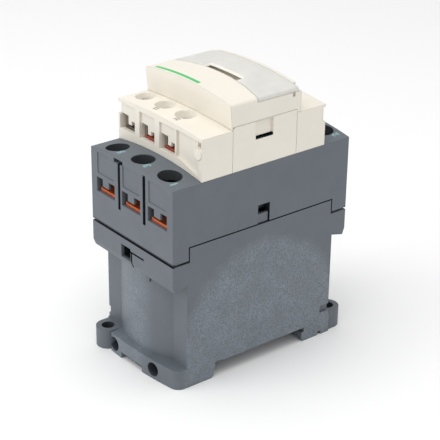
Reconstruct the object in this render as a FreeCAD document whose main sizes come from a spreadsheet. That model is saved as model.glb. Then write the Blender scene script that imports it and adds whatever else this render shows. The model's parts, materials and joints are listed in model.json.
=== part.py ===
import FreeCAD, Part
import math
import os
import Sketcher

# Three-pole contactor for a 35 mm rail, 45 mm wide.
# +Z runs from the mounting plane (z = 0) to the front face, -Y is the line side,
# +X is the side of the first pole.  The origin is the centre of the mounting plane.

doc = FreeCAD.newDocument("contactor")
sheet = doc.addObject("Spreadsheet::Sheet", "dims")

# Driving dimensions in millimetres.
VALUES = [
    # module envelope
    ("half_width", 22.5), ("block_half", 36.8), ("body_half", 31.0), ("crown", 1.9),
    ("slot_ceiling", 5.3), ("foot_top", 7.2), ("collar_low", 39.2), ("collar_top", 46.3),
    ("collar_toe", 36.9), ("block_low", 47.1), ("side_top", 51.55), ("block_step", 51.9),
    ("step_half", 30.45), ("block_top", 73.0), ("wall", 1.6), ("gap", 0.05),
    # feet and rail
    ("ear_span_x", 17.5), ("ear_span_y", 35.0), ("ear_radius", 4.2), ("mount_hole", 2.25),
    ("foot_inner", 19.9), ("foot_bore", 2.5), ("foot_bore_z", 3.6), ("bulge_radius", 30.0),
    ("bulge_half", 14.97), ("bulge_inner", 28.3), ("bulge_inner_half", 12.6), ("cavity_floor", 8.2),
    ("hook_tip", 16.7), ("hook_reach", 20.0), ("latch_mid", -0.5), ("latch_half", 5.8),
    ("latch_wing", 6.8), ("latch_travel", 3.0),
    # poles and power terminals
    ("pole_pitch", 14.3), ("channel_half", 5.8), ("channel_end", 26.6), ("channel_floor", 57.7),
    ("channel_top", 71.6), ("bay_half", 5.1), ("bay_floor", 58.1), ("bay_top", 70.9),
    ("bay_end", 35.9), ("entry_top", 63.3), ("tongue_low", 60.8), ("tongue_half", 1.7),
    ("screw_out", 31.8), ("access_radius", 4.0), ("strip_half", 2.6), ("strip_thick", 1.2),
    ("strip_low", 57.8), ("strip_high", 63.6), ("tip_radius", 2.0), ("tip_out", 9.4),
    ("contact_gap", 3.6), ("bridge_half", 12.0), ("bridge_low", 64.6), ("clamp_half", 4.4),
    ("clamp_low", 58.2), ("clamp_window", 3.4), ("clamp_roof", 65.2), ("clamp_top", 66.4),
    ("shank_radius", 1.75), ("head_radius", 3.0), ("head_low", 68.9), ("head_top", 70.4),
    # carrier and magnet
    ("beam_half_x", 19.9), ("beam_half_y", 3.9), ("window_half", 3.0), ("window_top", 71.8),
    ("beam_low", 56.0), ("beam_top", 74.5), ("stem_low", 50.0), ("plunger_radius", 8.0),
    ("plunger_low", 22.8), ("plunger_flange", 48.5), ("core_top", 19.0), ("frame_half", 8.0),
    ("frame_end", 31.4), ("frame_leg", 28.4), ("frame_low", 8.5), ("frame_floor", 11.5),
    ("pole_plate_low", 41.0), ("pole_plate_top", 44.0), ("bobbin_radius", 20.0),
    ("bobbin_bore", 8.3), ("bobbin_tube", 9.6), ("bobbin_low", 11.6), ("bobbin_top", 40.9),
    ("flange_thick", 1.5), ("winding_radius", 18.6), ("spring_bore", 4.2),
    # springs
    ("return_foot", 13.1), ("return_length", 24.8), ("return_radius", 3.3), ("return_wire", 0.8),
    ("latch_foot", -33.2), ("latch_level", 5.1), ("latch_length", 10.6), ("latch_radius", 1.0),
    ("latch_wire", 0.4), ("contact_radius", 1.9), ("contact_wire", 0.5),
    # control sections
    ("control_end", 25.6), ("control_inner", 13.3), ("deck", 87.4), ("deck_crown", 1.0),
    ("control_pitch", 10.9), ("control_first", -17.4), ("recess_half", 4.1), ("sill", 77.2),
    ("panel_top", 86.3), ("panel_out", 24.9), ("cage_out", 23.9), ("cavity_in", 14.9),
    ("cavity_half", 3.9), ("cavity_low", 76.5), ("cavity_top", 85.4), ("control_screw_out", 18.2),
    ("control_access", 3.5), ("leaf_low", 81.2), ("leaf_thick", 0.8), ("leaf_half", 1.5),
    ("small_clamp_half", 3.4), ("small_window", 2.5), ("small_shank", 1.45), ("small_head", 2.6),
    # front
    ("cheek_top", 88.45), ("cheek_half", 13.2), ("fascia_low", 88.55), ("fascia_near", 14.3),
    ("fascia_far", 14.7), ("shoulder", 96.0), ("cover_seat", 94.7), ("cover_far", 13.6),
    ("slot_half", 9.0), ("slot_near", -1.3), ("slot_far", 2.3), ("head_height", 95.0),
]


class Size:
    """A length with its spreadsheet expression, so geometry stays bound to the cells."""

    def __init__(self, value, text):
        self.value = value
        self.text = text

    def __neg__(self):
        return Size(-self.value, "(-1 * " + self.text + ")")

    def __add__(self, other):
        other = size_of(other)
        return Size(self.value + other.value, "(" + self.text + " + " + other.text + ")")

    def __radd__(self, other):
        return size_of(other) + self

    def __sub__(self, other):
        other = size_of(other)
        return Size(self.value - other.value, "(" + self.text + " - " + other.text + ")")

    def __rsub__(self, other):
        return size_of(other) - self

    def __mul__(self, factor):
        factor = size_of(factor)
        return Size(self.value * factor.value, "(" + self.text + " * " + factor.text + ")")

    def __rmul__(self, factor):
        return size_of(factor) * self

    def __truediv__(self, divisor):
        divisor = size_of(divisor)
        return Size(self.value / divisor.value, "(" + self.text + " / " + divisor.text + ")")


def size_of(number):
    if isinstance(number, Size):
        return number
    return Size(float(number), "(" + format(float(number), ".6g") + ")")


class Dims:
    """Named access to the spreadsheet cells."""


d = Dims()
for row, (alias, value) in enumerate(VALUES, start=1):
    sheet.set("A" + str(row), alias)
    sheet.set("B" + str(row), format(value, "g"))
    sheet.setAlias("B" + str(row), alias)
    setattr(d, alias, Size(value, "dims." + alias))
doc.recompute()


def bind(target, prop, size):
    target.setExpression(prop, size_of(size).text)


def new_body(label):
    body = doc.addObject("PartDesign::Body", label)
    body.Label = label
    return body


def origin_plane(body, role):
    for feature in body.Origin.OriginFeatures:
        if feature.Role == role:
            return feature
    raise ValueError(role)


def attach(feature, body, role, offsets, turn=None):
    feature.AttachmentSupport = [(origin_plane(body, role), "")]
    feature.MapMode = "FlatFace"
    if turn is not None:
        feature.AttachmentOffset = FreeCAD.Placement(FreeCAD.Vector(), turn)
    for axis, offset in zip("xyz", offsets):
        bind(feature, "AttachmentOffset.Base." + axis, offset)


def box(body, name, xs, ys, zs, cut=False):
    """Block between two corners, added to or taken from a body."""
    kind = "PartDesign::SubtractiveBox" if cut else "PartDesign::AdditiveBox"
    block = body.newObject(kind, body.Label + "_" + name)
    block.Refine = False
    attach(block, body, "XY_Plane", (xs[0], ys[0], zs[0]))
    bind(block, "Length", size_of(xs[1]) - xs[0])
    bind(block, "Width", size_of(ys[1]) - ys[0])
    bind(block, "Height", size_of(zs[1]) - zs[0])
    return block


def rod(body, name, axis, foot, radius, length, cut=False):
    """Cylinder that starts at foot and runs along +Z or +Y."""
    kind = "PartDesign::SubtractiveCylinder" if cut else "PartDesign::AdditiveCylinder"
    turn = FreeCAD.Rotation(FreeCAD.Vector(1, 0, 0), -90) if axis == "Y" else None
    cylinder = body.newObject(kind, body.Label + "_" + name)
    cylinder.Refine = False
    attach(cylinder, body, "XY_Plane", foot, turn)
    bind(cylinder, "Radius", radius)
    bind(cylinder, "Height", length)
    return cylinder


def arc_middle(start, end, radius):
    """Middle of an arc that bulges to the right of the way from start to end."""
    chord = end - start
    half = chord.Length / 2
    sagitta = abs(radius) - math.sqrt(radius * radius - half * half)
    right = FreeCAD.Vector(chord.y, -chord.x, 0).normalize()
    return (start + end) * 0.5 + right * math.copysign(sagitta, radius)


def profile(body, name, role, offset, points):
    """Closed sketch; a point with a third entry starts an arc of that radius.

    Points run counter-clockwise, and a positive radius bulges outwards.
    """
    sketch = body.newObject("Sketcher::SketchObject", body.Label + "_" + name + "_outline")
    attach(sketch, body, role, (0, 0, offset))
    corners = [FreeCAD.Vector(size_of(p[0]).value, size_of(p[1]).value, 0) for p in points]
    count = len(points)
    ends = []
    for index, point in enumerate(points):
        start = corners[index]
        end = corners[(index + 1) % count]
        if len(point) == 3:
            radius = size_of(point[2])
            middle = arc_middle(start, end, radius.value)
            edge = sketch.addGeometry(Part.Arc(start, middle, end), False)
            ends.append((edge, 1, 2) if radius.value > 0 else (edge, 2, 1))
        else:
            edge = sketch.addGeometry(Part.LineSegment(start, end), False)
            ends.append((edge, 1, 2))
    for index in range(count):
        edge, _, last = ends[index]
        after, first, _ = ends[(index + 1) % count]
        sketch.addConstraint(Sketcher.Constraint("Coincident", edge, last, after, first))
    for index, point in enumerate(points):
        edge, first, _ = ends[index]
        for kind, number in (("DistanceX", point[0]), ("DistanceY", point[1])):
            number = size_of(number)
            rule = Sketcher.Constraint(kind, -1, 1, edge, first, number.value)
            place = sketch.addConstraint(rule)
            sketch.setExpression("Constraints[" + str(place) + "]", number.text)
        if len(point) == 3:
            radius = size_of(point[2])
            size = radius if radius.value > 0 else -radius
            place = sketch.addConstraint(Sketcher.Constraint("Radius", edge, size.value))
            sketch.setExpression("Constraints[" + str(place) + "]", size.text)
    return sketch


def prism(body, name, role, span, points, cut=False):
    """Profile drawn across an axis and run through a span along it."""
    low, high = size_of(span[0]), size_of(span[1])
    offset = -high if role == "XZ_Plane" else low
    sketch = profile(body, name, role, offset, points)
    kind = "PartDesign::Pocket" if cut else "PartDesign::Pad"
    feature = body.newObject(kind, body.Label + "_" + name)
    feature.Profile = sketch
    feature.Refine = False
    bind(feature, "Length", high - low)
    feature.Reversed = cut
    sketch.Visibility = False
    return feature


def outward(side, inner, outer):
    """Y range between two distances from the middle, on the line (-1) or load (+1) side."""
    if side < 0:
        return (-size_of(outer), -size_of(inner))
    return (size_of(inner), size_of(outer))


def around(middle, half):
    return (size_of(middle) - half, size_of(middle) + half)


LINE, LOAD = -1, 1
SIDES = ((LINE, "line"), (LOAD, "load"))
POLES = (1, 0, -1)
ARCH = (d.half_width * d.half_width + d.crown * d.crown) / (2 * d.crown)
DECK_ARCH = (d.half_width * d.half_width + d.deck_crown * d.deck_crown) / (2 * d.deck_crown)


def pole_x(number):
    """Middle of pole 1, 2 or 3; pole 1 is on the +X side."""
    return d.pole_pitch * POLES[number - 1]


def control_x(number):
    return d.control_first + d.control_pitch * (number - 1)


# ---------------------------------------------------------------- base housing
base = new_body("base_housing")
box(base, "shell", around(0, d.half_width), around(0, d.body_half), (d.slot_ceiling, d.collar_top))
for turn, end in ((1, "line"), (-1, "load")):
    foot = [
        (22.5, -19.0), (-22.5, -19.0), (-22.5, -31.5), (-13.4, -31.5),
        (-12.6, -37.1, 137.0), (19.4, -35.4, 3.4), (22.5, -32.3),
    ]
    spun = [(turn * p[0], turn * p[1]) + p[2:] for p in foot]
    prism(base, end + "_foot", "XY_Plane", (0, d.foot_top), spun)
    ear_x = -turn * d.ear_span_x
    ear_y = -turn * d.ear_span_y
    rod(base, end + "_ear", "Z", (ear_x, ear_y, 0), d.ear_radius, d.foot_top)
    neck = (ear_y, -turn * d.body_half) if turn > 0 else (-turn * d.body_half, ear_y)
    box(base, end + "_neck", around(ear_x, d.ear_radius), neck, (0, d.foot_top))
for side, end in SIDES:
    collar = [
        (side * 30.0, d.collar_top), (side * d.block_half, d.collar_top),
        (side * d.block_half, d.collar_low), (side * (d.block_half - 0.9), d.collar_toe),
        (side * 30.0, d.collar_low - 0.8),
    ]
    if side > 0:
        collar.reverse()
    prism(base, end + "_collar", "YZ_Plane", around(0, d.half_width), collar)
    low = side * d.body_half
    back = side * (d.body_half - 3)
    bulge = [
        (-d.bulge_half, low, d.bulge_radius), (d.bulge_half, low),
        (d.bulge_half, back), (-d.bulge_half, back),
    ]
    if side > 0:
        bulge = [
            (d.bulge_half, low, d.bulge_radius), (-d.bulge_half, low),
            (-d.bulge_half, back), (d.bulge_half, back),
        ]
    prism(base, end + "_bulge", "XY_Plane", (d.slot_ceiling, d.collar_low), bulge)
for sign, hand in ((1, "right"), (-1, "left")):
    inner = sign * (d.half_width - d.wall)
    outer = sign * d.half_width
    side_x = (inner, outer) if sign > 0 else (outer, inner)
    box(base, hand + "_wall", side_x, around(0, d.step_half - 0.35), (45.0, d.side_top))
    tongue_x = (inner, sign * 22.0) if sign > 0 else (sign * 22.0, inner)
    box(base, hand + "_snap_tongue", tongue_x, (-2.1, 2.3), (d.side_top - 1, 55.1))
box(base, "cavity", around(0, d.half_width - d.wall), around(0, 29.2), (d.cavity_floor, 60), cut=True)
for side, end in SIDES:
    low = side * d.body_half
    back = side * (d.body_half - 4)
    sign = -side
    hollow = [
        (sign * -d.bulge_inner_half, low, d.bulge_inner), (sign * d.bulge_inner_half, low),
        (sign * d.bulge_inner_half, back), (sign * -d.bulge_inner_half, back),
    ]
    prism(base, end + "_coil_room", "XY_Plane", (d.cavity_floor, 60), hollow, cut=True)
    box(base, end + "_collar_room", around(0, d.half_width - d.wall), outward(side, 28, 35.2),
        (d.collar_low + 1.6, 60), cut=True)
    bore_y = outward(side, 26.5, 40)
    for bore_x in (-10.5, 10.9):
        rod(base, end + "_foot_bore_" + ("a" if bore_x < 0 else "b"), "Y",
            (bore_x * -side, bore_y[0], d.foot_bore_z), d.foot_bore, 13.5, cut=True)
rail = [
    (-21.2, -1.0), (19.9, -1.0), (19.9, 0.05), (d.hook_tip, 3.5), (d.hook_tip + 0.1, 3.6),
    (d.hook_reach, 3.6), (d.hook_reach, 5.1), (14.6, d.slot_ceiling), (-16.3, d.slot_ceiling),
    (-16.5, 5.8), (-19.3, 5.8), (-19.3, 3.9), (-18.5, 3.8), (-d.foot_inner, 3.0),
    (-d.foot_inner, 0.9), (-21.2, 0.05),
]
prism(base, "rail_channel", "YZ_Plane", around(0, 23.5), rail, cut=True)
box(base, "load_foot_groove", around(0, 23), (26.1, 27.9), (-1, 1.4), cut=True)
box(base, "latch_recess", around(d.latch_mid, d.latch_half), (-40, -18.3), (-1, 2.35), cut=True)
box(base, "latch_guide", around(d.latch_mid, d.latch_wing + 0.2), (-34.2, -18.3), (1.9, 3.6), cut=True)
box(base, "latch_spring_room", around(d.latch_mid, 2.2), (-33.4, -18.3), (3.6, 6.6), cut=True)
for sign, end in ((-1, "line"), (1, "load")):
    rod(base, end + "_mount_hole", "Z", (sign * d.ear_span_x, sign * d.ear_span_y, -1),
        d.mount_hole, d.foot_top + 2, cut=True)
    corner = (-23.0, -21.65) if sign < 0 else (21.65, 23.0)
    corner_y = (-31.5, -27.0) if sign < 0 else (27.0, 31.5)
    box(base, end + "_corner_relief", corner, corner_y, (8.7, 11.4), cut=True)
for side, end in SIDES:
    flip = -side
    port = (-6.0, -0.8) if flip > 0 else (0.8, 6.0)
    slit = (-0.9, 6.6) if flip > 0 else (-6.6, 0.9)
    drop = (-0.5, 0.1) if flip > 0 else (-0.1, 0.5)
    nick = (6.3, 7.1) if flip > 0 else (-7.1, -6.3)
    box(base, end + "_coil_port", port, outward(side, 33, 38), (d.collar_low, 43.8), cut=True)
    box(base, end + "_slit_across", slit, outward(side, 35.2, 38), (42.5, 43.0), cut=True)
    box(base, end + "_slit_down", drop, outward(side, 34.2, 38), (36.5, 42.8), cut=True)
    box(base, end + "_nick", nick, outward(side, 33.2, 36), (34.2, 36.8), cut=True)

# ------------------------------------------------------------ contact block
block = new_body("contact_block_housing")
arch_outline = [
    (-d.half_width, d.block_low), (d.half_width, d.block_low),
    (d.half_width, d.block_top, ARCH), (-d.half_width, d.block_top),
]
prism(block, "shell", "XZ_Plane", around(0, d.block_half), arch_outline)
box(block, "side_step", around(0, 23), around(0, d.step_half), (46, d.block_step), cut=True)
box(block, "carrier_well", around(0, d.beam_half_x + 0.5), around(0, 4.5), (46, 76), cut=True)
box(block, "chamber_mouth", around(0, 20.1), around(0, 12.6), (71, 76), cut=True)
for number in (1, 2, 3):
    middle = pole_x(number)
    tag = str(number)
    box(block, "chamber_" + tag, around(middle, d.channel_half), around(0, d.channel_end),
        (d.channel_floor, d.channel_top), cut=True)
    for side, end in SIDES:
        name = end + "_" + tag
        box(block, name + "_bay", around(middle, d.bay_half), outward(side, 26, d.bay_end),
            (d.bay_floor, d.bay_top), cut=True)
        rod(block, name + "_access", "Z", (middle, side * d.screw_out, d.bay_top - 1),
            d.access_radius, 8, cut=True)
        box(block, name + "_entry", around(middle, d.bay_half), outward(side, 35, 38),
            (d.bay_floor, d.tongue_low), cut=True)
        for low, high, hand in ((-d.bay_half, -d.tongue_half, "a"), (d.tongue_half, d.bay_half, "b")):
            box(block, name + "_notch_" + hand, (middle + low, middle + high),
                outward(side, 35, 38), (d.tongue_low - 0.5, d.entry_top), cut=True)
        box(block, name + "_panel", around(middle, 4.6), outward(side, d.block_half - 0.25, 38),
            (64.8, 72.2), cut=True)
for side, end in SIDES:
    box(block, end + "_barrier_slot_a", (-7.15, -6.05), outward(side, 31, 38), (55.9, 72.2), cut=True)
    box(block, end + "_barrier_head", (-9.4, -4.5), outward(side, 34.6, 38), (72.0, 73.5), cut=True)
    box(block, end + "_barrier_slot_b", (6.55, 7.85), outward(side, 31, 38), (55.8, 73.0), cut=True)
    box(block, end + "_lead_groove", (-20.9, -19.9), outward(side, 9.6, 13.5), (50, 76), cut=True)
    box(block, end + "_underside", around(0, 20.9), outward(side, 31.2, 35.2), (46, 56.2), cut=True)
for sign, hand in ((1, "right"), (-1, "left")):
    snap_x = (20.0, 23.0) if sign > 0 else (-23.0, -20.0)
    box(block, hand + "_snap_window", snap_x, (-2.3, 2.7), (51, 58.6), cut=True)

# --------------------------------------------------- control terminal blocks
for side, end in SIDES:
    cheek = new_body(end + "_control_block")
    outline = [
        (-d.half_width, 72.6), (d.half_width, 72.6),
        (d.half_width, d.deck, DECK_ARCH), (-d.half_width, d.deck),
    ]
    prism(cheek, "shell", "XZ_Plane", outward(side, d.control_inner, d.control_end), outline)
    under = outward(side, 10, 30)
    rod(cheek, "arched_underside", "Y", (0, under[0], d.block_top + d.crown - ARCH),
        ARCH + d.gap, 20, cut=True)
    for number in (1, 2, 3):
        middle = control_x(number)
        tag = "bay_" + str(number)
        box(cheek, tag + "_recess", around(middle, d.recess_half), outward(side, d.panel_out, 27),
            (d.sill, d.panel_top), cut=True)
        box(cheek, tag + "_room", around(middle, d.cavity_half), outward(side, d.cavity_in, d.cage_out),
            (d.cavity_low, d.cavity_top), cut=True)
        cuts = (("a", -3.9, -0.4, 82.4), ("b", -0.5, 1.5, 79.4), ("c", 1.4, 3.9, 80.9))
        for part_name, low, high, top in cuts:
            box(cheek, tag + "_entry_" + part_name, (middle + low, middle + high),
                outward(side, 23, 27), (d.sill, top), cut=True)
        rod(cheek, tag + "_access", "Z", (middle, side * d.control_screw_out, 84),
            d.control_access, 6, cut=True)
        box(cheek, tag + "_leaf_slot", around(middle, 1.8), outward(side, 12, 16),
            (81.0, 82.3), cut=True)
    blank = [(9.4, 77.6), (20.6, 74.6), (20.6, 86.2), (9.4, 86.6)]
    prism(cheek, "blank_panel", "XZ_Plane", outward(side, 24.8, 27), blank, cut=True)
    box(cheek, "blank_room", (9.8, 20.9), outward(side, d.cavity_in, 23.6), (76.5, 85.4), cut=True)
    box(cheek, "edge_relief", (-23.5, -21.5), outward(side, 24.4, 27), (82.3, 86.3), cut=True)
    if side == LINE:
        box(cheek, "corner_slot", (19.6, 22.1), outward(side, 23.9, 27), (84.1, 86.3), cut=True)
        boss_y = outward(side, 23.9, 25.95)
        rod(cheek, "corner_boss", "Y", (20.5, boss_y[0], 82.0), 1.9, boss_y[1] - boss_y[0])
    else:
        box(cheek, "far_edge_relief", (21.4, 23.5), outward(side, 24.4, 27), (81.5, 86.5), cut=True)

# ------------------------------------------------------------- centre cover
centre = new_body("centre_cover")
cheek_outline = [
    (-d.half_width, 72.6), (d.half_width, 72.6),
    (d.half_width, d.cheek_top), (-d.half_width, d.cheek_top),
]
prism(centre, "shell", "XZ_Plane", around(0, d.cheek_half), cheek_outline)
rod(centre, "arched_underside", "Y", (0, -20, d.block_top + d.crown - ARCH), ARCH + d.gap, 40, cut=True)
box(centre, "room", around(0, 20.9), around(0, 14), (70, 85.6), cut=True)
box(centre, "top_well", around(0, 20.9), around(0, 14), (87.0, 90), cut=True)
box(centre, "carrier_hole", (-9.6, 9.6), around(0, 4.3), (80, 90), cut=True)
for sign, hand in ((1, "right"), (-1, "left")):
    shallow = (21.6, 23.5) if sign > 0 else (-23.5, -21.6)
    through = (20.0, 23.5) if sign > 0 else (-23.5, -20.0)
    box(centre, hand + "_snap_recess", shallow, (-4.0, 3.2), (82.2, 88.2), cut=True)
    box(centre, hand + "_snap_slot", through, (-4.0, 3.2), (82.2, 83.0), cut=True)
    box(centre, hand + "_corner_nick", shallow, (-13.5, -12.7), (88.0, 89), cut=True)

# ------------------------------------------------------------- front fascia
CREST = d.shoulder + d.crown
fascia = new_body("front_fascia")
front_outline = [
    (-d.half_width, 87.2), (d.half_width, 87.2), (d.half_width, d.shoulder - 1, 1.1),
    (d.half_width - 1, d.shoulder + 0.17, ARCH), (1 - d.half_width, d.shoulder + 0.17, 1.1),
    (-d.half_width, d.shoulder - 1),
]
prism(fascia, "shell", "XZ_Plane", (-d.fascia_near, d.fascia_far), front_outline)
slope = [(-15, 86), (-13.5, 86), (-d.fascia_near, d.shoulder - 0.6), (-15, 97)]
prism(fascia, "raked_face", "YZ_Plane", around(0, 24), slope, cut=True)
rod(fascia, "arched_underside", "Y", (0, -16, d.deck + d.deck_crown - DECK_ARCH),
    DECK_ARCH + d.gap, 32, cut=True)
box(fascia, "seat", around(0, 23.5), around(0, d.cheek_half + 0.05), (86, d.fascia_low), cut=True)
box(fascia, "room", around(0, 20.7), (-12.4, 12.9), (86, 93.3), cut=True)
box(fascia, "near_room", around(0, 19), (-12.4, -4.6), (93, 94.6), cut=True)
seat_edge = [
    (-23.5, -3.65, -114.0), (23.5, -3.65), (23.5, d.cover_far), (-23.5, d.cover_far),
]
prism(fascia, "cover_seat", "XY_Plane", (d.cover_seat, 100), seat_edge, cut=True)
box(fascia, "carrier_slot", around(0, d.slot_half), (d.slot_near, d.slot_far), (86, 100), cut=True)
for sign, hand in ((1, "right"), (-1, "left")):
    corner = (19.4, 23.5) if sign > 0 else (-23.5, -19.4)
    nick = (21.5, 23.5) if sign > 0 else (-23.5, -21.5)
    box(fascia, hand + "_far_step", corner, (12.2, 16), (d.cover_seat, 100), cut=True)
    box(fascia, hand + "_catch_nick", nick, (11.2, 12.1), (93.2, 95), cut=True)

# -------------------------------------------------------------- clear cover
cover = new_body("clear_cover")
lid_outline = [
    (-d.half_width, d.cover_seat + d.gap), (d.half_width, d.cover_seat + d.gap),
    (d.half_width, d.shoulder - 1, 1.1), (d.half_width - 1, d.shoulder + 0.17, ARCH),
    (1 - d.half_width, d.shoulder + 0.17, 1.1), (-d.half_width, d.shoulder - 1),
]
prism(cover, "shell", "XZ_Plane", (-5, d.cover_far - 0.08), lid_outline)
near_edge = [
    (-24, -8), (24, -8), (24, -3.6, 114.0), (-24, -3.6),
]
prism(cover, "near_edge", "XY_Plane", (90, 100), near_edge, cut=True)
lid_room = [
    (-21.4, 94), (21.4, 94), (21.4, 95.05), (20.6, 95.3, ARCH - 1.2), (-20.6, 95.3), (-21.4, 95.05),
]
prism(cover, "room", "XZ_Plane", (-6, 12.4), lid_room, cut=True)
box(cover, "carrier_slot", around(0, d.slot_half), (-6, d.slot_far), (90, 100), cut=True)

# --------------------------------------------------------------- rail latch
latch = new_body("rail_latch")
box(latch, "wings", around(d.latch_mid, d.latch_wing), (-30.8, -19.4), (1.95, 3.3))
box(latch, "tab", around(d.latch_mid, d.latch_half - 0.3), (-35.6, -19.4), (0.3, 2.0))
nose = [(-19.6, 0.3), (-16.2, 0.3), (-13.4, 2.6), (-13.4, 3.3), (-19.6, 3.3)]
prism(latch, "nose", "YZ_Plane", around(d.latch_mid, d.latch_half - 0.3), nose)
box(latch, "spring_lug", around(d.latch_mid, 1.9), (-22.4, -20.8), (3.2, 6.3))

# ------------------------------------------------------------------- magnet
frame = new_body("magnet_frame")
box(frame, "floor", around(0, d.frame_half), around(0, d.frame_end), (d.frame_low, d.frame_floor))
for side, end in SIDES:
    box(frame, end + "_leg", around(0, d.frame_half), outward(side, d.frame_leg, d.frame_end),
        (d.frame_low, d.pole_plate_top))
rod(frame, "core", "Z", (0, 0, d.frame_low), d.plunger_radius, d.core_top - d.frame_low)
rod(frame, "spring_bore", "Z", (0, 0, 13.0), d.spring_bore, 8, cut=True)

pole_plate = new_body("pole_plate")
box(pole_plate, "plate", around(0, 14), around(0, d.frame_leg - 0.1),
    (d.pole_plate_low, d.pole_plate_top))
rod(pole_plate, "bore", "Z", (0, 0, 40), d.plunger_radius + 0.35, 6, cut=True)

bobbin = new_body("coil_bobbin")
rod(bobbin, "tube", "Z", (0, 0, d.bobbin_low), d.bobbin_tube, d.bobbin_top - d.bobbin_low)
rod(bobbin, "lower_flange", "Z", (0, 0, d.bobbin_low), d.bobbin_radius, d.flange_thick)
rod(bobbin, "upper_flange", "Z", (0, 0, d.bobbin_top - d.flange_thick), d.bobbin_radius, d.flange_thick)
rod(bobbin, "bore", "Z", (0, 0, 10), d.bobbin_bore, 34, cut=True)

winding = new_body("coil_winding")
low = d.bobbin_low + d.flange_thick + d.gap
high = d.bobbin_top - d.flange_thick - d.gap
rod(winding, "coil", "Z", (0, 0, low), d.winding_radius, high - low)
rod(winding, "bore", "Z", (0, 0, 10), d.bobbin_tube + d.gap, 34, cut=True)

plunger = new_body("moving_core")
rod(plunger, "stem", "Z", (0, 0, d.plunger_low), d.plunger_radius, d.plunger_flange - d.plunger_low + 0.5)
rod(plunger, "flange", "Z", (0, 0, d.plunger_flange), 10.5, d.stem_low - d.plunger_flange - d.gap)
rod(plunger, "spring_bore", "Z", (0, 0, 20), d.spring_bore, 18, cut=True)

# ---------------------------------------------------------- contact carrier
BEAM_Y = around(0, d.beam_half_y)
carrier = new_body("contact_carrier")
box(carrier, "foot", around(0, 8), BEAM_Y, (d.stem_low, d.beam_low + 1))
box(carrier, "beam", around(0, d.beam_half_x), BEAM_Y, (d.beam_low, d.beam_top))
box(carrier, "stem", (-9.2, 9.2), BEAM_Y, (d.beam_top - 1, 86.2))
box(carrier, "head", around(0, d.slot_half - 0.3), (d.slot_near + 0.3, d.slot_far - 0.3),
    (86, d.head_height))
for number in (1, 2, 3):
    box(carrier, "window_" + str(number), around(pole_x(number), d.window_half), around(0, 5),
        (d.bridge_low - 0.02, d.window_top), cut=True)
AUX_NC_X = control_x(2)
AUX_NO_X = control_x(3)
box(carrier, "open_aux_window", around(AUX_NO_X, 1.75), around(0, 5), (82.38, 83.22), cut=True)
box(carrier, "closed_aux_window", around(AUX_NC_X, 1.75), around(0, 5), (79.08, 79.92), cut=True)

# ------------------------------------------------- bridges and fixed contacts
TIP = 1.0
for number in (1, 2, 3):
    middle = pole_x(number)
    bridge = new_body("contact_bridge_" + str(number))
    box(bridge, "strip", around(middle, d.strip_half), around(0, d.bridge_half),
        (d.bridge_low, d.bridge_low + d.strip_thick))
    for side, end in SIDES:
        rod(bridge, end + "_tip", "Z", (middle, side * d.tip_out, d.bridge_low - TIP),
            d.tip_radius, TIP + 0.4)
    for side, end in SIDES:
        strip = new_body("fixed_contact_" + end + "_" + str(number))
        across = around(middle, d.strip_half)
        box(strip, "terminal_end", across, outward(side, 25.2, 35.0),
            (d.strip_high, d.strip_high + d.strip_thick))
        box(strip, "riser", across, outward(side, 25.2, 26.4),
            (d.strip_low, d.strip_high + d.strip_thick))
        box(strip, "contact_end", across, outward(side, 6.6, 26.4),
            (d.strip_low, d.strip_low + d.strip_thick))
        rod(strip, "tip", "Z", (middle, side * d.tip_out, d.strip_low + 0.6), d.tip_radius,
            TIP + d.strip_thick - 0.6)


def lift_clamp(label, middle, side, out, halves, levels, bore, reach):
    """Box clamp that rises on its screw: a square collar open along Y."""
    clamp = new_body(label)
    half, window = halves
    low, floor, roof, top = levels
    depth = outward(side, out - reach[0], out + reach[1])
    box(clamp, "collar", around(middle, half), depth, (low, top))
    inside = outward(side, out - 9, out + 9)
    box(clamp, "window", around(middle, window), inside, (floor, roof), cut=True)
    rod(clamp, "thread", "Z", (middle, side * out, roof - 1), bore + 0.06, 5, cut=True)
    return clamp


def clamp_screw(label, middle, side, out, shank, head, levels):
    """Captive screw with a cross-slot head."""
    screw = new_body(label)
    tip, seat, top = levels
    place = (middle, side * out)
    rod(screw, "shank", "Z", place + (tip,), shank, seat - tip + 0.2)
    rod(screw, "head", "Z", place + (seat,), head, top - seat)
    slot_y = around(side * out, 0.4)
    box(screw, "slot", around(middle, head + 1), slot_y, (top - 0.9, top + 1), cut=True)
    box(screw, "cross", around(middle, 0.4), around(side * out, head * 0.62), (top - 0.9, top + 1), cut=True)
    return screw


for side, end in SIDES:
    for number in (1, 2, 3):
        middle = pole_x(number)
        lift_clamp("power_clamp_" + end + "_" + str(number), middle, side, d.screw_out,
                   (d.clamp_half, d.clamp_window),
                   (d.clamp_low, d.clamp_low + 1, d.clamp_roof, d.clamp_top),
                   d.shank_radius, (3.8, 3.9))
        clamp_screw("power_screw_" + end + "_" + str(number), middle, side, d.screw_out,
                    d.shank_radius, d.head_radius,
                    (d.strip_high + d.strip_thick + d.gap, d.head_low, d.head_top))
LEAF = (d.leaf_low, d.leaf_low + d.leaf_thick)
for side, end in SIDES:
    for number in (1, 2, 3):
        middle = control_x(number)
        lift_clamp("control_clamp_" + end + "_" + str(number), middle, side, d.control_screw_out,
                   (d.small_clamp_half, d.small_window), (77.25, 78.05, 82.3, 83.2),
                   d.small_shank, (3.0, 5.5))
        clamp_screw("control_screw_" + end + "_" + str(number), middle, side, d.control_screw_out,
                    d.small_shank, d.small_head, (LEAF[1] + d.gap, 84.9, 86.1))

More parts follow.
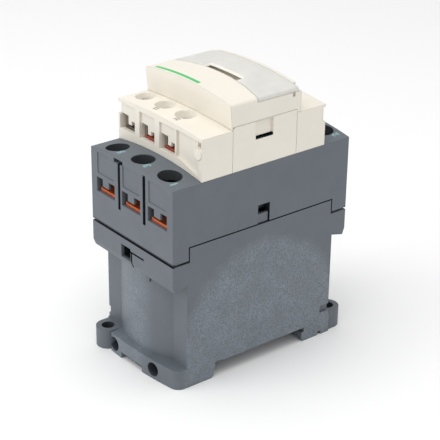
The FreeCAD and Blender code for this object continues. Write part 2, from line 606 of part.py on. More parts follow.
# ------------------------------------------- auxiliary contacts and coil leads
aux_open = new_body("aux_bridge_open")
box(aux_open, "strip", around(AUX_NO_X, d.leaf_half), around(0, 8.5), (82.4, 83.2))
aux_closed = new_body("aux_bridge_closed")
box(aux_closed, "strip", around(AUX_NC_X, d.leaf_half), around(0, 8.5), (79.1, 79.9))
for side, end in SIDES:
    rod(aux_open, end + "_tip", "Z", (AUX_NO_X, side * 7.0, 81.8), 1.2, 0.9)
    rod(aux_closed, end + "_tip", "Z", (AUX_NC_X, side * 7.0, 79.6), 1.2, 0.9)
    open_leaf = new_body("aux_leaf_open_" + end)
    across = around(AUX_NO_X, d.leaf_half)
    box(open_leaf, "terminal_end", across, outward(side, 11.6, 23.2), LEAF)
    box(open_leaf, "riser", across, outward(side, 11.6, 12.4), (76.6, LEAF[1]))
    box(open_leaf, "contact_end", across, outward(side, 5.4, 12.4), (76.6, 77.4))
    rod(open_leaf, "tip", "Z", (AUX_NO_X, side * 7.0, 77.0), 1.2, 1.2)
    closed_leaf = new_body("aux_leaf_closed_" + end)
    box(closed_leaf, "strip", around(AUX_NC_X, d.leaf_half), outward(side, 5.4, 23.2), LEAF)
    rod(closed_leaf, "tip", "Z", (AUX_NC_X, side * 7.0, 80.52), 1.2, 0.9)
    lead = new_body("coil_lead_" + end)
    lead_x = control_x(1)
    box(lead, "terminal_end", around(lead_x, d.leaf_half), outward(side, 10, 23.2), LEAF)
    box(lead, "jog", (-20.75, lead_x + d.leaf_half), outward(side, 10, 13), LEAF)
    box(lead, "drop", (-20.75, -20.05), outward(side, 10, 13), (42.0, LEAF[1]))

bodies = [item for item in doc.Objects if item.TypeId == "PartDesign::Body"]
for item in bodies:
    item.Tip.Refine = True
doc.recompute()


# ------------------------------------------------------------------ springs
def placed(foot, yaw, pitch, roll):
    """Placement expression from a foot (three sizes) and three angles given as text."""
    x, y, z = (size_of(value).text for value in foot)
    return ("create(<<placement>>; create(<<vector>>; " + x + "; " + y + "; " + z
            + "); create(<<rotation>>; " + yaw + "; " + pitch + "; " + roll + "))")


def coil_spring(label, foot, length, mean_radius, wire, turns, roll="0"):
    """Compression spring of half rings, each tilted so that its ends run level into the next one.

    It stands on its foot along Z, or along Y with a roll of -90 degrees.
    """
    pitch = (length - wire) / turns
    tilt = "asin(" + (pitch / (mean_radius * 4)).text + ")"
    rings = []
    for step in range(2 * turns):
        ring = doc.addObject("Part::Torus", label + "_half_" + str(step))
        bind(ring, "Radius1", mean_radius)
        bind(ring, "Radius2", wire / 2)
        ring.Angle3 = 180
        middle = pitch * (0.25 + 0.5 * step) + wire / 2
        ring.setExpression("Placement", placed((0, 0, middle), str(180 * (step % 2)), tilt, "0"))
        rings.append(ring)
    spring = doc.addObject("Part::MultiFuse", label)
    spring.Label = label
    spring.Shapes = rings
    spring.setExpression("Placement", placed(foot, "0", "0", roll))
    return spring


springs = [
    coil_spring("return_spring", (0, 0, d.return_foot), d.return_length, d.return_radius, d.return_wire, 9),
    coil_spring("rail_latch_spring", (d.latch_mid, d.latch_foot, d.latch_level), d.latch_length,
                d.latch_radius, d.latch_wire, 9, "-90"),
]
spring_low = d.bridge_low + d.strip_thick + d.gap
for number in (1, 2, 3):
    springs.append(
        coil_spring("contact_spring_" + str(number), (pole_x(number), 0, spring_low),
                    d.window_top - spring_low - d.gap, d.contact_radius, d.contact_wire, 5)
    )
doc.recompute()

# ------------------------------------------------------------- check and write
for item in doc.Objects:
    bad = [state for state in item.State if state in ("Invalid", "Error")]
    if bad:
        raise RuntimeError(item.Name + " is " + ", ".join(bad))
os.makedirs("parts", exist_ok=True)
for item in bodies + springs:
    shape = item.Shape
    if shape.isNull() or not shape.isValid() or len(shape.Solids) != 1:
        raise RuntimeError(item.Label + " has no valid single solid")
    shape.exportStep("parts/" + item.Label + ".step")
print("wrote", len(bodies) + len(springs), "nodes")
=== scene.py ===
"""Looks of the DIN rail contactor: materials, printed numerals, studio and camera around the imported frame."""

import json
import math

import bpy
from mathutils import Matrix, Vector


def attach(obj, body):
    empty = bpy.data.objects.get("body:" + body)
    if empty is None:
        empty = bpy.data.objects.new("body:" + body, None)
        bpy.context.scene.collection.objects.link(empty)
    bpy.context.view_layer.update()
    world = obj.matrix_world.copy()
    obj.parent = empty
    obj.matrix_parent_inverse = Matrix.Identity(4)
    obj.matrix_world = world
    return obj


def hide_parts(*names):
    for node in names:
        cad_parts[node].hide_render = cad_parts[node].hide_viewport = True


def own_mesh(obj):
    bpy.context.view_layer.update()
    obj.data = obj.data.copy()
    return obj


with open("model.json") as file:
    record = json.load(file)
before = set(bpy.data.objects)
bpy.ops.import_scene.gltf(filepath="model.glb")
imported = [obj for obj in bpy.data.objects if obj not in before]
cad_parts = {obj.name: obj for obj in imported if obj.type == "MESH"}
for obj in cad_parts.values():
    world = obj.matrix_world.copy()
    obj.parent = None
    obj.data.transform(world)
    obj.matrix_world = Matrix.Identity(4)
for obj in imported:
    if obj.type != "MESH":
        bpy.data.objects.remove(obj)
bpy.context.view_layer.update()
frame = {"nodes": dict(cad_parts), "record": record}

MM = 0.001


# ------------------------------------------- places on the object, in millimetres
# Ranges are (low, high). What repeats at both ends is given for the load end, and the line end has it turned
# half round.
BEYOND = 60.0
HALF_WIDTH = 22.5
POLE_X = (-14.3, 0.0, 14.3)
CONTROL_X = (-17.4, -6.5, 4.4)

# Frosted grain: a round patch on the side faces and a strip down the end bulges.
FROST_END_Z = (50.0, 53.0)
SIDE_FACE_X = (22.0, 22.3)
PATCH_MIDDLE = (0.3, 12.3)
PATCH_RADIUS = 33.4
PATCH_FADE = (-2.5, 1.5)
PATCH_WOBBLE = 1.2
BULGE_FACE_Y = (30.8, 31.2)
STRIP_END_Z = (36.0, 38.5)

# Parting line of the slate housings, where shade is painted near black: high between the two steps, low beyond
# them.
STEP_HALF = 30.45
STEP_RISER_Y = (STEP_HALF - 0.42, STEP_HALF + 0.08)
SEAM_HIGH_Z = (51.47, 51.98)
SEAM_RISER_Z = (46.4, 51.98)
SEAM_LOW_Z = (46.35, 47.18)
SEAM_END_Z = (46.2, 47.55)
SEAM_END_Y = (36.0, BEYOND)

# Snap windows in the side faces, painted near black as shade, each as its ranges along Y and Z.
SLATE_WINDOW = ((-2.4, 2.8), (55.15, 58.7))
SLATE_WINDOW_SLIT = ((2.33, 2.8), (50.9, 55.2))
SLATE_WINDOW_X = (19.9, 22.45)
CREAM_WINDOW = ((-4.1, 3.3), (82.1, 83.05))
CREAM_WINDOW_X = (20.0, 22.45)

# Slots between the power terminals and cuts in the collar below them, painted near black as shade, each as its
# ranges along X and Z.
BARRIER_SLOTS = (((-7.3, -5.9), (55.8, 72.3)), ((6.4, 8.0), (55.7, 72.3)))
BARRIER_Y = (31.0, BEYOND)
COLLAR_SLITS = (((-6.75, 1.05), (42.38, 43.12)), ((-0.25, 0.65), (36.4, 42.8)))
COLLAR_SLIT_Y = (34.2, BEYOND)
COIL_PORT = ((0.75, 6.05), (39.1, 43.9))
COIL_PORT_Y = (31.5, 35.6)

# Round bores, their walls painted darker as shade: two blind ones in each foot and the mounting hole in each
# ear.
FOOT_BORES = ((10.5, 3.6), (-10.9, 3.6))
FOOT_BORE_RADIUS = 2.54
FOOT_Y = (26.0, BEYOND)
EAR_HOLE = (17.5, 35.0)
EAR_HOLE_RADIUS = 2.29
EAR_HOLE_TOP = 7.15

# Shafts above the screws: painted shade on the walls of the power shafts, a painted glow in the control shafts.
POWER_SHAFT_HALF = 4.03
POWER_SHAFT_Y = (27.77, 35.83)
POWER_SHAFT_Z = (60.0, 74.6)
CONTROL_SHAFT_HALF = 3.55
CONTROL_SHAFT_Y = 18.2
CONTROL_SHAFT_Z = (83.3, 88.6)
CONTROL_GLOW_Z = (83.5, 87.6)

# Slot in the front and the carrier's head in it, both given a painted glow, and the printed stripe.
SLOT_X = (-9.1, 9.1)
FASCIA_SLOT = ((-1.4, 2.4), (90.0, 97.0))
COVER_SLOT = ((-1.5, 2.45), (90.0, 99.0))
HEAD_Z = (89.0, 89.5)
STRIPE_Z = (95.0, 95.3)

# Floors of the box clamps, where the wire is gripped; the clamp sides above them are painted darker as shade.
POWER_CLAMP_FLOOR = 59.25
CONTROL_CLAMP_FLOOR = 78.1


# ------------------------------------------------------------------ node helpers
MIX_SHARE, MIX_FIRST, MIX_SECOND, MIX_COLOUR = 0, 6, 7, 2
# Colour of the painted glow.
GLOW = (1.0, 0.965, 0.90, 1.0)
UPRIGHT_LIMIT = 0.6


class Graph:
    """A material's node tree with short calls for the few node kinds the looks need."""

    def __init__(self, name):
        self.material = bpy.data.materials.new(name)
        self.material.use_nodes = True
        self.tree = self.material.node_tree
        self.shader = self.tree.nodes["Principled BSDF"]
        self.place = self.add("ShaderNodeTexCoord").outputs["Object"]

    def add(self, kind, **settings):
        node = self.tree.nodes.new(kind)
        for key, value in settings.items():
            setattr(node, key, value)
        return node

    def link(self, source, target):
        """Connect a socket, or set a plain value."""
        if hasattr(source, "is_output"):
            self.tree.links.new(source, target)
        else:
            target.default_value = source

    def math(self, operation, first, second=0.0, clamp=False):
        node = self.add("ShaderNodeMath", operation=operation, use_clamp=clamp)
        self.link(first, node.inputs[0])
        self.link(second, node.inputs[1])
        return node.outputs[0]

    def apart(self, vector):
        """The X, Y and Z of a vector."""
        node = self.add("ShaderNodeSeparateXYZ")
        self.link(vector, node.inputs[0])
        return node.outputs

    def axes(self):
        return self.apart(self.place)

    def stretched(self, factors):
        node = self.add("ShaderNodeVectorMath", operation="MULTIPLY")
        self.link(self.place, node.inputs[0])
        node.inputs[1].default_value = factors
        return node.outputs[0]

    def noise(self, size, detail=2.0, rough=0.5, place=None):
        """Noise whose lumps are about `size` millimetres across."""
        node = self.add("ShaderNodeTexNoise")
        self.link(place if place is not None else self.place, node.inputs["Vector"])
        node.inputs["Scale"].default_value = 1.0 / (size * MM)
        node.inputs["Detail"].default_value = detail
        node.inputs["Roughness"].default_value = rough
        return node.outputs[0]

    def spread(self, value, low, high, from_low=0.3, from_high=0.7):
        """Value mapped from its own range to low and high; noise keeps mostly between 0.3 and 0.7."""
        node = self.add("ShaderNodeMapRange")
        self.link(value, node.inputs["Value"])
        numbers = (("From Min", from_low), ("From Max", from_high), ("To Min", low), ("To Max", high))
        for key, number in numbers:
            node.inputs[key].default_value = number
        return node.outputs[0]

    def blend(self, share, first, second):
        node = self.add("ShaderNodeMix", data_type="RGBA")
        self.link(share, node.inputs[MIX_SHARE])
        self.link(first, node.inputs[MIX_FIRST])
        self.link(second, node.inputs[MIX_SECOND])
        return node.outputs[MIX_COLOUR]

    # A share is 1 in some part of the object and 0 elsewhere; sizes are in millimetres.
    def rise(self, value, start, stop):
        return self.spread(value, 0.0, 1.0, start * MM, stop * MM)

    def fall(self, value, start, stop):
        return self.spread(value, 1.0, 0.0, start * MM, stop * MM)

    def band(self, value, middle, half, soft):
        """1 within `half` of `middle`, fading to 0 over `soft`."""
        away = self.math("ABSOLUTE", self.math("SUBTRACT", value, middle * MM))
        return self.fall(away, half - soft / 2, half + soft / 2)

    def within(self, value, low, high):
        above = self.math("GREATER_THAN", value, low * MM)
        return self.math("MULTIPLY", above, self.math("LESS_THAN", value, high * MM))

    def all_of(self, shares):
        product = shares[0]
        for share in shares[1:]:
            product = self.math("MULTIPLY", product, share)
        return product

    def any_of(self, shares):
        largest = shares[0]
        for share in shares[1:]:
            largest = self.math("MAXIMUM", largest, share)
        return largest

    def cell(self, *sides):
        """1 where each value is in its own range; a side is a value and its range."""
        return self.all_of([self.within(value, *limits) for value, limits in sides])

    def room(self, across, along, up):
        """1 inside the box with these ranges along X, Y and Z."""
        x, y, z = self.axes()
        return self.cell((x, across), (y, along), (z, up))

    def distance(self, values, middle):
        """Distance in metres from `middle`, in the plane of the two values."""
        away = [self.math("SUBTRACT", value, at * MM) for value, at in zip(values, middle)]
        squares = [self.math("MULTIPLY", side, side) for side in away]
        return self.math("SQRT", self.math("ADD", *squares))

    def bore(self, values, middle, radius):
        return self.math("LESS_THAN", self.distance(values, middle), radius * MM)

    def upright(self):
        """1 on a wall, 0 on a face that looks along +Z."""
        facing = self.apart(self.add("ShaderNodeTexCoord").outputs["Normal"])
        return self.math("LESS_THAN", facing[2], UPRIGHT_LIMIT)

    def relief(self, height, depth, strength, edge):
        """Bump of `depth` over edges rounded by `edge`, both in millimetres."""
        rounded = self.add("ShaderNodeBevel", samples=4)
        rounded.inputs["Radius"].default_value = edge * MM
        bump = self.add("ShaderNodeBump")
        bump.inputs["Strength"].default_value = strength
        bump.inputs["Distance"].default_value = depth * MM
        self.link(height, bump.inputs["Height"])
        self.link(rounded.outputs[0], bump.inputs["Normal"])
        self.link(bump.outputs[0], self.shader.inputs["Normal"])

    def glow(self, share, strength):
        """Painted glow: emission standing in for light that has come through the translucent plastic into its
        own holes.
        """
        self.shader.inputs["Emission Color"].default_value = GLOW
        self.link(self.math("MULTIPLY", share, strength), self.shader.inputs["Emission Strength"])

    def finish(self, colour, roughness, **constants):
        self.link(colour, self.shader.inputs["Base Color"])
        self.link(roughness, self.shader.inputs["Roughness"])
        for key, value in constants.items():
            self.shader.inputs[key.replace("_", " ")].default_value = value
        return self.material


def tone(colour, factor):
    """Colour made lighter or darker by a factor, fully opaque."""
    return tuple(min(1.0, c * factor) for c in colour) + (1.0,)


def both_sides(inner, outer):
    """The range between inner and outer on either side of the middle."""
    return (inner, outer), (-outer, -inner)


# --------------------------------------------------------------------- materials
SLATE = (0.118, 0.136, 0.156)
CREAM = (0.80, 0.755, 0.665)
# Painted shade on the sides of the control clamps.
CLAMP_SIDE_SHADE = (0.30, 0.25, 0.21)
GREEN = (0.045, 0.50, 0.13, 1.0)
# Near black: painted shade in the gaps and snap windows, and the carrier below its head.
GAP = (0.015, 0.019, 0.027, 1.0)
FROST_TONE = 2.0
BORE_SHADE = 0.40
SHAFT_SHADE = 0.34


def moulded(name, colour, roughness, grain, depth, variation, edge):
    """Moulded plastic with fine grain, speckle and slow mottling: its graph, colour and roughness."""
    g = Graph(name)
    mottle = g.spread(g.noise(9.0, 3.0), 0.0, 1.0)
    speckle = g.spread(g.noise(grain * 3, 4.0, 0.7), 0.0, 1.0)
    slow = g.blend(mottle, tone(colour, 1 - variation), tone(colour, 1 + variation))
    fine = g.blend(g.math("MULTIPLY", speckle, 0.45), slow, tone(colour, 1 + 2.2 * variation))
    g.relief(g.noise(grain, 3.0, 0.6), depth, 0.5, edge)
    rough = g.math("ADD", g.spread(speckle, -0.05, 0.05, 0.0, 1.0), roughness, clamp=True)
    return g, fine, rough


def frosted(g):
    """Share of the pale frosted grain on the lower housing."""
    x, y, z = g.axes()
    wobble = g.spread(g.noise(5.0, 3.0), -PATCH_WOBBLE * MM, PATCH_WOBBLE * MM)
    away = g.math("ADD", g.distance((y, z), PATCH_MIDDLE), wobble)
    patch = g.all_of([
        g.fall(z, *FROST_END_Z),
        g.rise(g.math("ABSOLUTE", x), *SIDE_FACE_X),
        g.fall(away, *[PATCH_RADIUS + fade for fade in PATCH_FADE]),
    ])
    strip = g.all_of([
        g.rise(g.math("ABSOLUTE", y), *BULGE_FACE_Y),
        g.fall(z, *STRIP_END_Z),
        g.band(x, middle=-3.0, half=8.0, soft=6.0),
    ])
    grains = g.spread(g.noise(0.42, 3.0, 0.8), 0.05, 1.0, 0.42, 0.60)
    clouds = g.spread(g.noise(6.0, 4.0, 0.6), 0.45, 1.0)
    return g.all_of([g.math("MAXIMUM", patch, strip), grains, clouds])


def gap_shade_share(g):
    """Share of the painted shade in the gaps: parting line, snap windows, barrier slots, collar slits and coil
    port.
    """
    x, y, z = g.axes()
    length = g.math("ABSOLUTE", y)
    shaded_gaps = [
        g.cell((y, (-STEP_HALF, STEP_HALF)), (z, SEAM_HIGH_Z)),
        g.cell((length, STEP_RISER_Y), (z, SEAM_RISER_Z)),
        g.cell((length, (STEP_HALF, BEYOND)), (z, SEAM_LOW_Z)),
        g.cell((length, SEAM_END_Y), (z, SEAM_END_Z)),
    ]
    for depth in both_sides(*SLATE_WINDOW_X):
        shaded_gaps += [g.room(depth, *SLATE_WINDOW), g.room(depth, *SLATE_WINDOW_SLIT)]
    for across, up in BARRIER_SLOTS:
        shaded_gaps.append(g.cell((x, across), (length, BARRIER_Y), (z, up)))
    cuts = [(*slit, COLLAR_SLIT_Y) for slit in COLLAR_SLITS] + [(*COIL_PORT, COIL_PORT_Y)]
    for end in (-1.0, 1.0):
        turned_x = g.math("MULTIPLY", x, end)
        turned_y = g.math("MULTIPLY", y, end)
        for across, up, along in cuts:
            shaded_gaps.append(g.cell((turned_x, across), (turned_y, along), (z, up)))
    return g.any_of(shaded_gaps)


def bore_shade_share(g):
    """Share of the painted shade on the walls of the blind bores in the feet and of the mounting holes in the
    ears.
    """
    x, y, z = g.axes()
    below_top = g.math("LESS_THAN", z, EAR_HOLE_TOP * MM)
    shaded_bores = []
    for end in (-1.0, 1.0):
        turned_x = g.math("MULTIPLY", x, end)
        turned_y = g.math("MULTIPLY", y, end)
        this_end = g.within(turned_y, *FOOT_Y)
        for middle in FOOT_BORES:
            shaded_bores.append(g.all_of([g.bore((turned_x, z), middle, FOOT_BORE_RADIUS), this_end]))
        shaded_bores.append(g.all_of([g.bore((turned_x, turned_y), EAR_HOLE, EAR_HOLE_RADIUS), below_top]))
    return g.any_of(shaded_bores)


def shaft_shade_share(g):
    """Share of the painted shade on the walls of the shafts above the power screws."""
    x, y, z = g.axes()
    length = g.math("ABSOLUTE", y)
    painted_shafts = []
    for pole in POLE_X:
        across = (pole - POWER_SHAFT_HALF, pole + POWER_SHAFT_HALF)
        painted_shafts.append(g.cell((x, across), (length, POWER_SHAFT_Y), (z, POWER_SHAFT_Z)))
    return g.all_of([g.any_of(painted_shafts), g.upright()])


def slate_plastic():
    """Slate plastic of the two housings, with its frosted grain and painted shade in the gaps, bores and power
    shafts.
    """
    g, colour, rough = moulded(
        "slate_plastic", SLATE,
        roughness=0.50, grain=0.28, depth=0.030, variation=0.06, edge=0.22)
    colour = g.blend(frosted(g), colour, tone(SLATE, FROST_TONE))
    # Painted shade: darker slate on the walls of the bores.
    colour = g.blend(bore_shade_share(g), colour, tone(SLATE, BORE_SHADE))
    # Painted shade: darker slate on the walls of the power screws' shafts.
    colour = g.blend(shaft_shade_share(g), colour, tone(SLATE, SHAFT_SHADE))
    # Painted shade: the gaps painted near black.
    colour = g.blend(gap_shade_share(g), colour, GAP)
    return g.finish(colour, rough, Specular_IOR_Level=0.40)


def latch_plastic():
    g, colour, rough = moulded(
        "latch_plastic", tone(SLATE, 0.8)[:3],
        roughness=0.48, grain=0.4, depth=0.02, variation=0.06, edge=0.15)
    return g.finish(colour, rough)


def cream_plastic():
    """Cream plastic of the control blocks and the centre cover, with a painted glow down the screws' shafts
    standing in for light from within.
    """
    g, colour, rough = moulded(
        "cream_plastic", CREAM,
        roughness=0.40, grain=0.22, depth=0.012, variation=0.018, edge=0.35)
    painted_shafts = []
    for x in CONTROL_X:
        for y in (-CONTROL_SHAFT_Y, CONTROL_SHAFT_Y):
            square = [(at - CONTROL_SHAFT_HALF, at + CONTROL_SHAFT_HALF) for at in (x, y)]
            painted_shafts.append(g.room(*square, CONTROL_SHAFT_Z))
    low_z, high_z = CONTROL_GLOW_Z
    deeper = g.spread(g.axes()[2], 1.0, 0.35, low_z * MM, high_z * MM)
    # Painted glow on the shaft walls, fading with depth.
    g.glow(g.all_of([g.any_of(painted_shafts), g.upright(), deeper]), 0.34)
    # Painted shade: the snap windows painted near black.
    shaded_gaps = [g.room(depth, *CREAM_WINDOW) for depth in both_sides(*CREAM_WINDOW_X)]
    return g.finish(g.blend(g.any_of(shaded_gaps), colour, GAP), rough, Specular_IOR_Level=0.5)


def fascia_plastic():
    """Cream plastic with the plain green stripe printed along the near edge of the front, and a painted glow on
    the walls of its slot.
    """
    g, colour, rough = moulded(
        "fascia_plastic", CREAM,
        roughness=0.38, grain=0.22, depth=0.012, variation=0.018, edge=0.6)
    # Painted glow on the slot's walls.
    g.glow(g.all_of([g.room(SLOT_X, *FASCIA_SLOT), g.upright()]), 0.46)
    x, y, z = g.axes()
    stripe = g.all_of([
        g.band(x, middle=-7.3, half=11.7, soft=0.3),
        g.band(y, middle=-12.7, half=0.72, soft=0.15),
        g.rise(z, *STRIPE_Z),
    ])
    return g.finish(g.blend(stripe, colour, GREEN), rough)


def clear_plastic():
    """Frosted clear cover: cloudy, a little cooler than the cream around it, with a painted glow on the walls
    of its slot.
    """
    g = Graph("clear_plastic")
    haze = g.spread(g.noise(4.0, 3.0), 0.0, 1.0)
    colour = g.blend(haze, (0.84, 0.825, 0.775, 1.0), (0.90, 0.885, 0.835, 1.0))
    g.relief(g.noise(0.6), 0.003, 0.25, 0.5)
    # Painted glow on the slot's walls.
    g.glow(g.all_of([g.room(SLOT_X, *COVER_SLOT), g.upright()]), 0.34)
    rough = g.spread(haze, 0.30, 0.38, 0.0, 1.0)
    return g.finish(colour, rough, Transmission_Weight=0.30, IOR=1.49)


def carrier_plastic():
    """Grey plastic of the carrier, pale on the head that shows in the front and dark below it, with a faint
    painted glow on the head.
    """
    g, colour, rough = moulded(
        "carrier_plastic", (0.66, 0.65, 0.67),
        roughness=0.42, grain=0.25, depth=0.012, variation=0.03, edge=0.2)
    head = g.rise(g.axes()[2], *HEAD_Z)
    # Painted glow on the head.
    g.glow(head, 0.12)
    return g.finish(g.blend(head, GAP, colour), rough)


def bobbin_plastic():
    g, colour, rough = moulded(
        "bobbin_plastic", (0.68, 0.63, 0.50),
        roughness=0.45, grain=0.3, depth=0.015, variation=0.05, edge=0.2)
    return g.finish(colour, rough)


# Grain of a metal surface, as how much finer it is along X, Y and Z.
FINE_ALONG_Z = (1, 1, 3)
FINE_ALONG_Y = (0.3, 3, 0.3)
STREAKS_ALONG_Y = (3, 0.3, 3)
STREAKS_ALONG_Z = (1, 1, 0.3)


def metal(name, colour, roughness, streak):
    """Rolled or drawn metal: streaks with dull patches."""
    g = Graph(name)
    lines = g.noise(0.25, 4.0, 0.6, g.stretched(streak))
    dull = g.spread(g.noise(1.8, 3.0), 0.0, 1.0)
    mixed = g.blend(dull, tone(colour, 0.90), tone(colour, 1.10))
    g.relief(lines, 0.010, 0.35, 0.1)
    patches = g.spread(dull, roughness, roughness + 0.08, 0.0, 1.0)
    return g.finish(mixed, g.math("ADD", g.spread(lines, -0.07, 0.09), patches), Metallic=1.0)


def clamp_plate(name, colour, sides, floor_height):
    """Box clamp: a bright plated floor where the wire is gripped, and sides above it painted darker as shade.
    """
    g = Graph(name)
    lines = g.noise(0.25, 4.0, 0.6, g.stretched(STREAKS_ALONG_Y))
    dull = g.spread(g.noise(1.2, 3.0), 0.0, 1.0)
    plate = g.blend(dull, tone(colour, 0.85), tone(colour, 1.12))
    # Painted shade on the sides above the floor.
    shaded_side_share = g.rise(g.axes()[2], floor_height, floor_height + 0.35)
    g.relief(lines, 0.010, 0.35, 0.1)
    return g.finish(g.blend(shaded_side_share, plate, sides + (1.0,)), g.spread(lines, 0.34, 0.50), Metallic=0.55)


def enamelled_wire():
    """Wound coil: a fine ripple up the winding stands for its layers of wire."""
    g = Graph("enamelled_wire")
    layer = 0.32 * MM
    ripple = g.math("SINE", g.math("MULTIPLY", g.axes()[2], 2 * math.pi / layer))
    shade = g.spread(ripple, 0.0, 1.0, -1.0, 1.0)
    colour = g.blend(shade, (0.20, 0.055, 0.02, 1.0), (0.50, 0.17, 0.06, 1.0))
    g.relief(shade, 0.10, 0.6, 0.05)
    return g.finish(colour, g.spread(g.noise(1.0), 0.24, 0.38), Metallic=0.55, Coat_Weight=0.4)


LOOKS = {
    "slate_plastic": slate_plastic(),
    "cream_plastic": cream_plastic(),
    "clear_plastic": clear_plastic(),
    "carrier_plastic": carrier_plastic(),
    "bobbin_plastic": bobbin_plastic(),
    "enamelled_wire": enamelled_wire(),
    "spring_steel": metal("spring_steel", (0.58, 0.58, 0.60), 0.28, FINE_ALONG_Z),
    "magnet_iron": metal("magnet_iron", (0.40, 0.40, 0.41), 0.36, FINE_ALONG_Y),
    "contact_copper": metal("contact_copper", (0.86, 0.47, 0.30), 0.26, STREAKS_ALONG_Y),
    # Clamp sides painted as shade: near black on the power clamps, darker brown on the control clamps.
    "copper_plate": clamp_plate(
        "copper_plate", (0.72, 0.165, 0.06), (0.018, 0.016, 0.017), POWER_CLAMP_FLOOR),
    "red_plate": clamp_plate("red_plate", (0.47, 0.085, 0.05), CLAMP_SIDE_SHADE, CONTROL_CLAMP_FLOOR),
    "zinc_steel": metal("zinc_steel", (0.62, 0.61, 0.57), 0.32, STREAKS_ALONG_Z),
}
SPECIAL = {
    "front_fascia": fascia_plastic(),
    "rail_latch": latch_plastic(),
    "control_clamp_line_1": clamp_plate("dark_plate", (0.16, 0.13, 0.11), CLAMP_SIDE_SHADE, CONTROL_CLAMP_FLOOR),
}
SLOT_OF = {row["node"]: row["material_slot"] for row in frame["record"]["subparts"]}
for node, item in frame["nodes"].items():
    item.data.materials.clear()
    item.data.materials.append(SPECIAL.get(node, LOOKS[SLOT_OF[node]]))


# ----------------------------------------------------------------------- springs
def coil(node, body):
    """Visible copy of a spring, carried with its body, while the spring it copies is hidden."""
    source = frame["nodes"][node]
    mesh = source.data.copy()
    mesh.transform(source.matrix_world)
    item = bpy.data.objects.new(node + "_coil", mesh)
    bpy.context.scene.collection.objects.link(item)
    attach(item, body)
    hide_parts(node)
    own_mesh(item)


coil("return_spring", "housing")
coil("rail_latch_spring", "housing")
for pole in ("1", "2", "3"):
    coil("contact_spring_" + pole, "carrier")


# ---------------------------------------------------------------------- numerals
INK_HEIGHT = 0.02
INK_STROKE = 0.05
BLOCK_ARCH = (73.0, 1.9)
DECK_ARCH = (87.4, 1.0)


def ink(name, colour):
    """Printing ink, a little worn."""
    g = Graph(name)
    wear = g.spread(g.noise(0.35, 3.0), 0.0, 0.35)
    g.relief(g.noise(0.2), 0.004, 0.3, 0.02)
    return g.finish(g.blend(wear, colour + (1.0,), tone(colour, 0.7)), g.spread(g.noise(0.5), 0.45, 0.6))


def arch_height(x, arch):
    """Height of an arched top at x from its middle; arch is its edge height and its crown."""
    edge, crown = arch
    radius = (HALF_WIDTH * HALF_WIDTH + crown * crown) / (2 * crown)
    return edge + crown - radius + math.sqrt(radius * radius - x * x)


def numeral(text, x, y, arch, size, material):
    """One printed numeral that follows an arched top and reads upright from the load side."""
    curve = bpy.data.curves.new("numeral_source", "FONT")
    curve.body = text
    curve.size = size * MM
    curve.align_x = "CENTER"
    curve.align_y = "CENTER"
    curve.resolution_u = 3
    curve.offset = INK_STROKE * size * MM
    source = bpy.data.objects.new("numeral_source", curve)
    mesh = bpy.data.meshes.new_from_object(source)
    bpy.data.objects.remove(source)
    mesh.transform(Matrix.Translation((x * MM, y * MM, 0)) @ Matrix.Rotation(math.pi, 4, "Z"))
    for point in mesh.vertices:
        point.co.z = (arch_height(point.co.x / MM, arch) + INK_HEIGHT) * MM
    item = bpy.data.objects.new("terminal_numeral_" + text, mesh)
    bpy.context.scene.collection.objects.link(item)
    item.data.materials.append(material)
    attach(item, "housing")


def numerals(rows, place, arch, size, material):
    """Numerals of one kind of terminal; place is how far they stand from the screw and from the middle."""
    beside, out = place
    for middle, line_text, load_text in rows:
        numeral(line_text, middle + beside, -out, arch, size, material)
        numeral(load_text, middle + beside, out, arch, size, material)


CYAN_INK = ink("cyan_ink", (0.24, 0.41, 0.43))
GREY_INK = ink("grey_ink", (0.28, 0.28, 0.27))
POLE_TEXTS = ((POLE_X[2], "1", "2"), (POLE_X[1], "3", "4"), (POLE_X[0], "5", "6"))
CONTROL_TEXTS = ((CONTROL_X[1], "13", "14"), (CONTROL_X[2], "21", "22"))
numerals(POLE_TEXTS, (4.8, 33.7), BLOCK_ARCH, 3.7, CYAN_INK)
numerals(CONTROL_TEXTS, (1.2, 22.6), DECK_ARCH, 2.2, GREY_INK)


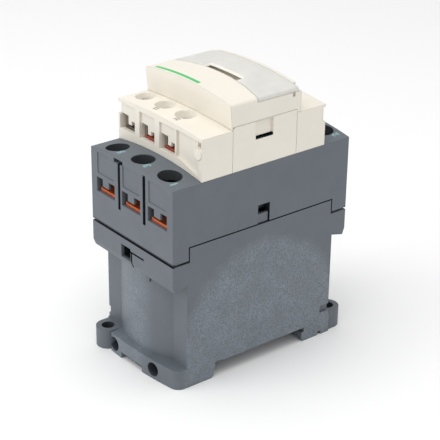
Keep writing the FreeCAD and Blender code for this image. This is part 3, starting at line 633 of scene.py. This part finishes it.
# ------------------------------------------------------------- studio, in metres
FLOOR_HALF = 3.0
FLOOR_GREY = (0.93, 0.93, 0.93, 1.0)
LIGHT_TARGET = Vector((0, 0, 0.045))
SKY_STRENGTH = 0.72


def floor():
    mesh = bpy.data.meshes.new("floor")
    corners = [(x * FLOOR_HALF, y * FLOOR_HALF, 0) for x, y in ((-1, -1), (1, -1), (1, 1), (-1, 1))]
    mesh.from_pydata(corners, [], [(0, 1, 2, 3)])
    item = bpy.data.objects.new("floor", mesh)
    bpy.context.scene.collection.objects.link(item)
    item.data.materials.append(Graph("floor_paper").finish(FLOOR_GREY, 0.9))


def sky():
    world = bpy.data.worlds.new("studio")
    world.use_nodes = True
    background = world.node_tree.nodes["Background"]
    background.inputs["Color"].default_value = (1, 1, 1, 1)
    background.inputs["Strength"].default_value = SKY_STRENGTH
    bpy.context.scene.world = world


def area_light(name, place, power, size):
    lamp = bpy.data.lights.new(name, "AREA")
    lamp.energy = power
    lamp.size = size
    item = bpy.data.objects.new(name, lamp)
    item.location = place
    item.rotation_mode = "QUATERNION"
    item.rotation_quaternion = (LIGHT_TARGET - Vector(place)).to_track_quat("-Z", "Y")
    bpy.context.scene.collection.objects.link(item)


floor()
sky()
area_light("overhead", (0.05, -0.10, 0.75), power=2.6, size=0.7)
area_light("left_front", (-0.25, -0.65, 0.40), power=1.4, size=0.5)
bpy.context.scene.view_settings.view_transform = "Standard"

# The camera's place and its own three axes.
EYE = Vector((0.358776, -0.286583, 0.266505))
SIDEWAYS = Vector((0.619253, 0.785098, 0.012131))
UPWARD = Vector((-0.349267, 0.261585, 0.899770))
BACKWARD = Vector((0.703234, -0.561422, 0.436196))
lens = bpy.data.cameras.new("camera")
lens.lens = 122.732
lens.sensor_width = 36.0
lens.clip_start = 0.01
lens.shift_x = 0.000308
lens.shift_y = 0.000653
camera = bpy.data.objects.new("camera", lens)
camera.matrix_world = Matrix.Translation(EYE) @ Matrix((SIDEWAYS, UPWARD, BACKWARD)).transposed().to_4x4()
bpy.context.scene.collection.objects.link(camera)
bpy.context.scene.camera = camera
